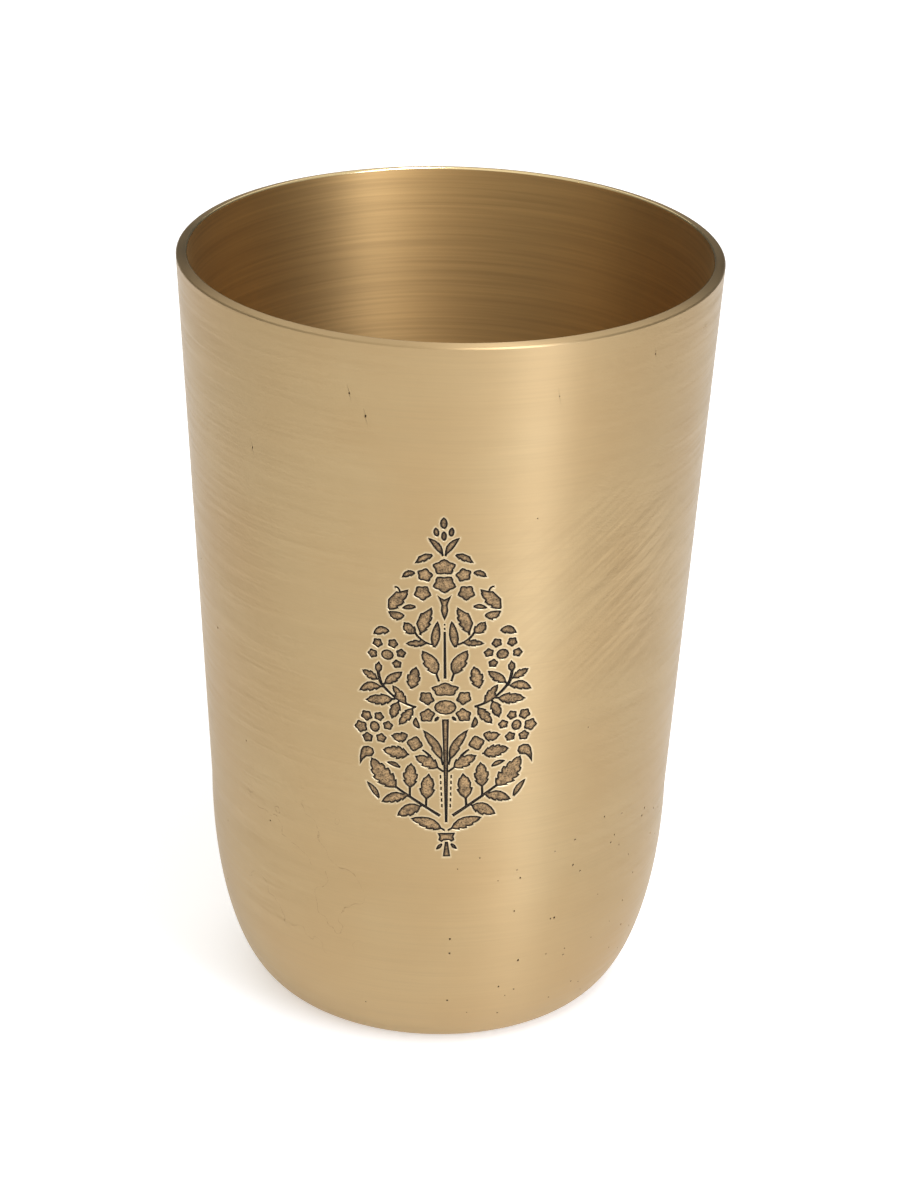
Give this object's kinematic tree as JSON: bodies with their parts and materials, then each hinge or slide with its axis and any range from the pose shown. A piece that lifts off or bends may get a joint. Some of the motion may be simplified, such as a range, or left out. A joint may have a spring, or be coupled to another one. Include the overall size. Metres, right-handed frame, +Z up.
{
  "type": "drinking tumbler",
  "caption": "Straight-sided, slightly tapered brass tumbler with a thick sloped rim, a rounded bottom and an etched flowering-plant motif filled dark.",
  "frame": {"origin": "centre of the standing ring, on the table plane", "axes": "+Z up along the tumbler's axis, -Y out of the front, where the motif is; +X to the motif's right as it is looked at"},
  "size_m": [0.076, 0.076, 0.112],
  "materials": {
    "brass": "satin, brushed round its axis on a lathe, with a polished inner edge at the rim",
    "dark_fill": "matt dark brown-black lac, worn lighter in the middle of the larger leaves"
  },
  "bodies": {
    "root": {"tumbler_body": "brass", "fill_foot_tie": "dark_fill", "fill_foot_leaves": "dark_fill", "fill_main_stem": "dark_fill", "fill_centre_flower": "dark_fill", "fill_calyx": "dark_fill", "fill_top_flower": "dark_fill", "fill_crown_buds": "dark_fill", "fill_outer_leaves_left": "dark_fill", "fill_outer_leaves_right": "dark_fill", "fill_lower_branch_left": "dark_fill", "fill_lower_branch_right": "dark_fill", "fill_lower_flower_left": "dark_fill", "fill_lower_flower_right": "dark_fill", "fill_inner_leaves_left": "dark_fill", "fill_inner_leaves_right": "dark_fill", "fill_middle_branch_left": "dark_fill", "fill_middle_branch_right": "dark_fill", "fill_upper_flower_left": "dark_fill", "fill_upper_flower_right": "dark_fill", "fill_upper_leaves_left": "dark_fill", "fill_upper_leaves_right": "dark_fill"}
  },
  "joints": []
}
